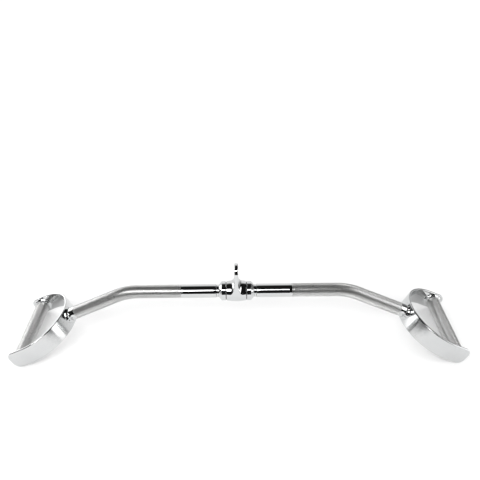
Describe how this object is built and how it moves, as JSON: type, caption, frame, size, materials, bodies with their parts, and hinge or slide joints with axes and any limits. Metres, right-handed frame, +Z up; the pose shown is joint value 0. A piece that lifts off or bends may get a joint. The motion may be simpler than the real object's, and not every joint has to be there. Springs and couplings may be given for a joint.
{
  "type": "parallel grip lat bar",
  "caption": "Cable pulldown bar: angled knurled arms, a revolving hanger with an eye at the middle, and a strap stirrup with a knurled cross grip welded on each end.",
  "frame": {"origin": "on the floor under the hanger, at the middle of the span, with the bar standing on the lower corners of its strap ends", "axes": "+X along the bar, +Y from its front to its rear along the grips, +Z up through the hanger's eye"},
  "size_m": [0.9638, 0.1842, 0.1942],
  "materials": {
    "polished_chrome": "mirror-polished chrome plate",
    "satin_chrome": "chrome plate over rolled strap, slightly satin",
    "knurled_chrome": "fine diamond knurl under chrome plate, with smooth ends",
    "chromed_weld": "fillet weld bead under chrome plate",
    "turned_steel": "turned and greased",
    "bush_bronze": "sintered bronze, oiled",
    "black_nylon": "black nylon washer"
  },
  "bodies": {
    "bar": {"spindle": "turned_steel", "thrust_washer_left": "black_nylon", "thrust_washer_right": "black_nylon", "end_plug_left": "polished_chrome", "end_plug_right": "polished_chrome", "arm_left": "knurled_chrome", "arm_right": "knurled_chrome", "arm_weld_left": "chromed_weld", "arm_weld_right": "chromed_weld", "stirrup_left": "satin_chrome", "stirrup_right": "satin_chrome", "grip_left": "knurled_chrome", "grip_right": "knurled_chrome", "grip_weld_left_front": "chromed_weld", "grip_weld_left_rear": "chromed_weld", "grip_weld_right_front": "chromed_weld", "grip_weld_right_rear": "chromed_weld"},
    "hanger": {"hanger": "polished_chrome", "bush_left": "bush_bronze", "bush_right": "bush_bronze"}
  },
  "joints": [
    {"name": "hanger_swivel", "type": "hinge", "parent": "bar", "child": "hanger", "pos_m": [0, 0, 0.12788], "axis": [1, 0, 0], "continuous": true}
  ]
}
